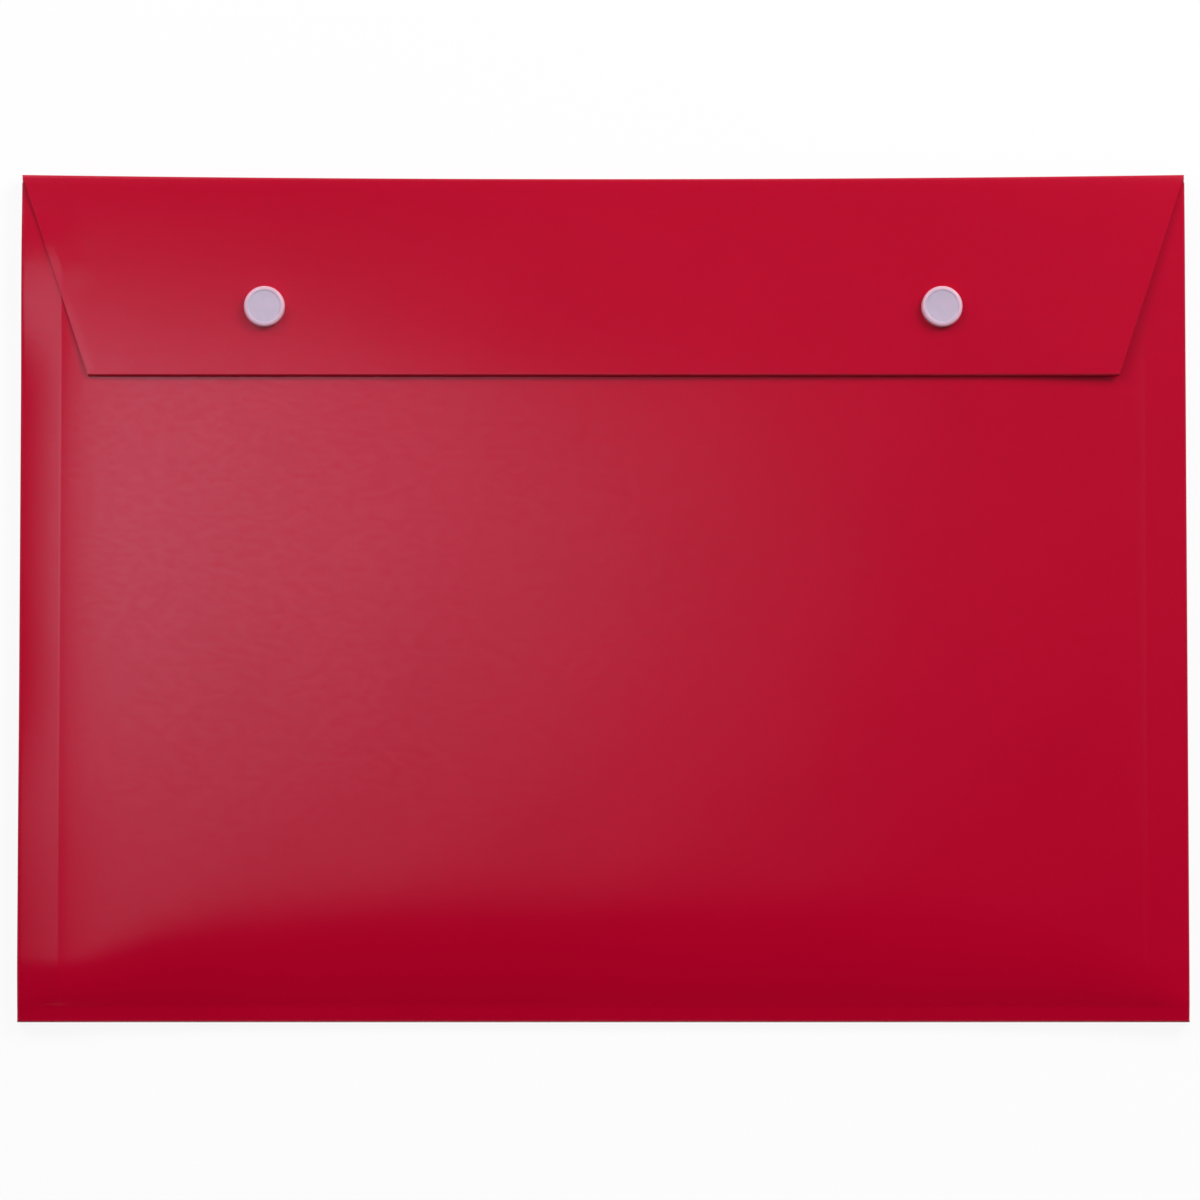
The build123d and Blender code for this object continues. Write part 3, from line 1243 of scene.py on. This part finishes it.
@dataclass
class SnapFastener:
    """One snap: a cap and a socket on the flap, and a stud and its backing on the front panel."""

    sizes: FrameSizes
    material: bpy.types.Material
    side: Side
    segments: int = 72
    edge_round: float = 0.12 * MM
    small_round: float = 0.08 * MM
    rivet_round: float = 0.1 * MM
    cap_inset: float = 0.35 * MM
    rim_width: float = 0.35 * MM
    # Width and lead of the fade of the painted rim glow and highlight on the cap.
    bounce_glow_fade: float = 0.5 * MM
    bounce_glow_lead: float = 0.8
    crown_radius: float = 0.8 * MM
    dish: float = 0.16 * MM
    dish_round: float = 0.3 * MM
    brim_round: float = 0.2 * MM
    seat: float = 1.15 * MM
    post_radius: float = 1.0 * MM
    rivet_radius: float = 1.45 * MM
    rivet_height: float = 0.25 * MM
    socket_flange: float = 0.5 * MM
    socket_seam: float = 0.3 * MM
    ring_radius: float = 4.3 * MM
    ring_round: float = 0.3 * MM
    ring_fillet: float = 0.15 * MM
    chamber_radius: float = 2.9 * MM
    lip_radius: float = 2.6 * MM
    lip_height: float = 0.4 * MM
    lip_round: float = 0.1 * MM
    stud_flange: float = 0.4 * MM
    stud_seam: float = 0.2 * MM
    stud_seat_round: float = 0.05 * MM
    neck_radius: float = 1.95 * MM
    neck_fillet: float = 0.1 * MM
    knob_radius: float = 2.28 * MM
    knob_round: float = 0.25 * MM
    hollow_radius: float = 1.55 * MM
    backing_round: float = 0.4 * MM

    def build(self) -> None:
        """Makes the four mouldings."""
        for name, profile, body in (
            ("snap_cap", self._cap(), Body.FLAP),
            ("snap_socket", self._socket(), Body.FLAP),
            ("snap_stud", self._stud(), Body.POCKET),
            ("stud_backing", self._backing(), Body.POCKET),
        ):
            self._turn(f"{self.side.word}_{name}", profile, body)

    def _box(self, name: str) -> tuple[float, float, float]:
        """Radius, lowest and highest level of one of the snap's solids."""
        low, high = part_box(f"{self.side.word}_{name}")
        return (high.x - low.x) / 2, low.z, high.z

    def _cap(self) -> FoldedLine:
        """Profile of the dished cap with its post and rivet head.

        Returns:
            The line, from the axis or the bore outwards and round.
        """
        outer, foot, top = self._box("snap_cap")
        radius = outer - self.cap_inset
        under = self.sizes.flap_high.z - self.seat
        face = foot + self.rivet_height
        inner = radius - self.crown_radius - self.rim_width
        return FoldedLine(
            [
                Corner(0.0, top - self.dish),
                Corner(inner - self.dish, top - self.dish, self.dish_round, 4),
                Corner(inner, top, self.brim_round, 4),
                Corner(radius, top, self.crown_radius, 8),
                Corner(radius, under, self.small_round, 2),
                Corner(self.post_radius, under),
                Corner(self.post_radius, face),
                Corner(self.rivet_radius, face, self.small_round, 2),
                Corner(self.rivet_radius, foot, self.rivet_round, 3),
                Corner(0.0, foot),
            ]
        )

    def _socket(self) -> FoldedLine:
        """Profile of the socket's flange and lipped ring.

        Returns:
            The line, from the axis or the bore outwards and round.
        """
        radius, foot, top = self._box("snap_socket")
        face, lip_top = top - self.socket_flange, foot + self.lip_height
        seam = Corner(self.post_radius, top - self.socket_seam)
        return FoldedLine(
            [
                seam,
                Corner(self.post_radius, top),
                Corner(radius, top, self.edge_round, 3),
                Corner(radius, face, self.edge_round, 3),
                Corner(self.ring_radius, face, self.ring_fillet, 3),
                Corner(self.ring_radius, foot, self.ring_round, 5),
                Corner(self.lip_radius, foot, self.ring_fillet, 4),
                Corner(self.lip_radius, lip_top, self.lip_round, 3),
                Corner(self.chamber_radius, lip_top),
                Corner(self.chamber_radius, face),
                Corner(self.post_radius, face),
                seam,
            ]
        )

    def _stud(self) -> FoldedLine:
        """Profile of the stud's flange and its hollow, bulging knob.

        Returns:
            The line, from the axis or the bore outwards and round.
        """
        radius, foot, top = self._box("snap_stud")
        flange = foot + self.stud_flange
        seam = Corner(self.post_radius, foot + self.stud_seam)
        return FoldedLine(
            [
                seam,
                Corner(self.post_radius, foot),
                Corner(radius, foot, self.stud_seat_round, 2),
                Corner(radius, flange, self.edge_round, 3),
                Corner(self.neck_radius, flange, self.neck_fillet, 3),
                Corner(self.knob_radius, 0.5 * (flange + top), self.knob_round, 5),
                Corner(self.neck_radius, top, self.edge_round, 3),
                Corner(self.hollow_radius, top, self.small_round, 2),
                Corner(self.hollow_radius, flange),
                Corner(self.post_radius, flange),
                seam,
            ]
        )

    def _backing(self) -> FoldedLine:
        """Profile of the backing disc with its post and rivet head.

        Returns:
            The line, from the axis or the bore outwards and round.
        """
        radius, foot, top = self._box("stud_backing")
        sheet_under = self.sizes.front_high.z - self.sizes.sheet
        face = top - self.rivet_height
        return FoldedLine(
            [
                Corner(0.0, foot),
                Corner(radius, foot, self.backing_round, 5),
                Corner(radius, sheet_under),
                Corner(self.post_radius, sheet_under),
                Corner(self.post_radius, face),
                Corner(self.rivet_radius, face, self.small_round, 2),
                Corner(self.rivet_radius, top, self.rivet_round, 3),
                Corner(0.0, top),
            ]
        )

    def _turn(self, name: str, profile: FoldedLine, body: Body) -> None:
        """Turns a moulding about the snap's upright axis and fixes it to its body.

        Args:
            name: The moulding's name, which is its solid's too.
            profile: Its profile, with the distance from the axis across.
            body: The body that it rides on.
        """
        low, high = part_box(name)
        axis = Vector(((low.x + high.x) / 2, (low.y + high.y) / 2, 0.0))
        bm = bmesh.new()
        profile.draw(bm)
        bmesh.ops.remove_doubles(bm, verts=list(bm.verts), dist=MERGE_DISTANCE)
        bmesh.ops.spin(
            bm,
            geom=everything(bm),
            cent=(0.0, 0.0, 0.0),
            axis=(0.0, 0.0, 1.0),
            angle=math.tau,
            steps=self.segments,
            use_merge=True,
        )
        bmesh.ops.remove_doubles(bm, verts=list(bm.verts), dist=MERGE_DISTANCE)
        bmesh.ops.recalc_face_normals(bm, faces=list(bm.faces))
        # Only the cap gets the painted pink glow and highlight, fading in towards its crown.
        shown = float("cap" in name)
        crown = (high.x - low.x) / 2 - self.crown_radius - self.rim_width
        start = crown - self.bounce_glow_lead * self.bounce_glow_fade
        paint(bm, PAINTED_BOUNCE_LAYER, lambda point: shown * smooth((point.xy.length - start) / self.bounce_glow_fade))
        bmesh.ops.translate(bm, verts=list(bm.verts), vec=axis)
        piece = to_piece(bm, f"{name}_moulding", self.material)
        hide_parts(name)
        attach(piece, body.value)


# Studio


@dataclass(frozen=True)
class Softbox:
    """A square studio light that faces the wallet."""

    name: str
    place: tuple[float, ...]
    side: float
    radiance: float

    def build(self) -> None:
        """Hangs the light."""
        lamp = bpy.data.lights.new(self.name, "AREA")
        lamp.shape = "SQUARE"
        lamp.size = self.side
        lamp.energy = self.radiance * math.pi * self.side**2
        light = bpy.data.objects.new(self.name, lamp)
        light.location = self.place
        light.rotation_euler = (-Vector(self.place)).to_track_quat("-Z", "Y").to_euler()
        light.visible_camera = False
        bpy.context.scene.collection.objects.link(light)


@dataclass(frozen=True)
class GradedSoftbox:
    """A wide softbox above the wallet that is brightest off its middle and fades towards its edges."""

    name: str = "sheen_softbox"
    level: float = 1.5
    half: float = 1.1
    radiance: float = 4.85
    base: float = 0.30
    tint: tuple[float, ...] = (1.06, 0.97, 1.20, 1.0)
    fade_left: tuple[float, ...] = (-0.90, -0.36)
    fade_right: tuple[float, ...] = (-0.36, 0.22)
    fade_power: float = 1.25
    fade_foot: tuple[float, ...] = (-0.25, 0.10)
    fade_head: tuple[float, ...] = (0.222, 0.310)
    head_power: float = 0.6
    head_skew: tuple[float, ...] = (-0.20, 0.0)
    head_shift: float = 0.055
    base_fade: tuple[float, ...] = (-0.20, 0.12)

    def build(self) -> None:
        """Hangs the softbox."""
        bm = bmesh.new()
        bmesh.ops.create_grid(bm, x_segments=8, y_segments=8, size=self.half)
        bmesh.ops.translate(bm, verts=list(bm.verts), vec=(0.0, 0.0, self.level))
        box = to_object(bm, self.name, self._cloth())
        box.visible_camera = False

    def _cloth(self) -> bpy.types.Material:
        """Glowing cloth, graded across its two directions.

        Returns:
            The finished material.
        """
        material = bpy.data.materials.new(f"{self.name}_cloth")
        graph = ShaderGraph(material)
        across, along = (graph.axis(graph.place(), letter) for letter in "XY")
        sideways = across.step(*self.fade_left) * (1 - across.ramp(*self.fade_right)) ** self.fade_power
        skewed = along + self.head_shift * across.ramp(*self.head_skew)
        lengthways = along.ramp(*self.fade_foot) * (1 - skewed.step(*self.fade_head)) ** self.head_power
        strength = sideways * lengthways * self.radiance + self.base * along.ramp(*self.base_fade)
        graph.surface(graph.node("ShaderNodeEmission", None, {"Color": self.tint, "Strength": strength}))
        return material


@dataclass(frozen=True)
class Studio:
    """Camera, pale floor and soft light."""

    lens: float = 121.88
    sensor: float = 36.0
    distance: float = 1.15
    tilt: float = 2.583
    target: tuple[float, ...] = (-0.91 * MM, -0.92 * MM, 0.0)
    floor_half: float = 4.0
    floor_gap: float = 0.3 * MM
    walls: float = 0.26
    walls_right: float = -0.10
    walls_head: float = 0.24
    ceiling: tuple[float, ...] = (0.5, 0.8)
    boxes: tuple[Union[GradedSoftbox, Softbox], ...] = (
        GradedSoftbox(),
        Softbox("head_left_softbox", (-0.60, 0.72, 0.80), 0.62, 4.7),
        Softbox("head_right_softbox", (0.70, 0.72, 0.80), 0.62, 9.1),
        Softbox("foot_right_softbox", (0.95, -0.95, 1.30), 0.90, 1.8),
    )

    def build(self) -> None:
        """Sets up the whole studio."""
        self._camera()
        self._floor()
        self._world()
        for box in self.boxes:
            box.build()
        bpy.context.scene.view_settings.view_transform = "Standard"

    def _camera(self) -> None:
        """Places the camera nearly straight above."""
        data = bpy.data.cameras.new("camera")
        data.lens, data.sensor_width = self.lens, self.sensor
        camera = bpy.data.objects.new("camera", data)
        tilt = math.radians(self.tilt)
        back = Vector((0.0, -math.sin(tilt), math.cos(tilt)))
        camera.location = Vector(self.target) + self.distance * back
        camera.rotation_euler = (tilt, 0.0, 0.0)
        bpy.context.scene.collection.objects.link(camera)
        bpy.context.scene.camera = camera

    def _floor(self) -> None:
        """Lays the floor just under the wallet."""
        bm = bmesh.new()
        bmesh.ops.create_grid(bm, x_segments=1, y_segments=1, size=self.floor_half)
        bmesh.ops.translate(bm, verts=list(bm.verts), vec=(0.0, 0.0, -self.floor_gap))
        floor = to_object(bm, "floor", PaleFloor().build())

    def _world(self) -> None:
        """Puts a dim room round the wallet, brighter to the left and the head, and white to the camera."""
        world = bpy.data.worlds.new("dim_room")
        bpy.context.scene.world = world
        graph = ShaderGraph(world)
        direction = graph.node("ShaderNodeTexCoord", None, None, "Generated")
        right, head, up = (graph.axis(direction, letter) for letter in "XYZ")
        walls = self.walls + self.walls_right * right + self.walls_head * head
        dim = walls * (1 - up.step(*self.ceiling))
        seen = graph.seen_directly()
        strength = seen + (1 - seen) * dim
        sockets = {"Color": WHITE, "Strength": strength}
        graph.surface(graph.node("ShaderNodeBackground", None, sockets), "ShaderNodeOutputWorld")


def main() -> None:
    """Builds the wallet's pieces in order, then the studio."""
    logging.basicConfig(level=logging.INFO, format="%(message)s")
    sizes = FrameSizes.measured()
    sheet, snap = SatinSheet().build(), MilkySnap().build()
    form = PanelForm(sizes)
    BackSheet(sizes, sheet).build()
    FrontSheet(sizes, form, sheet).build()
    for side in Side:
        SideStrip(sizes, form, sheet, side).build()
    FlapSheet(sizes, form, sheet).build()
    for side in Side:
        SnapFastener(sizes, snap, side).build()
    Studio().build()


if __name__ == "__main__":
    main()
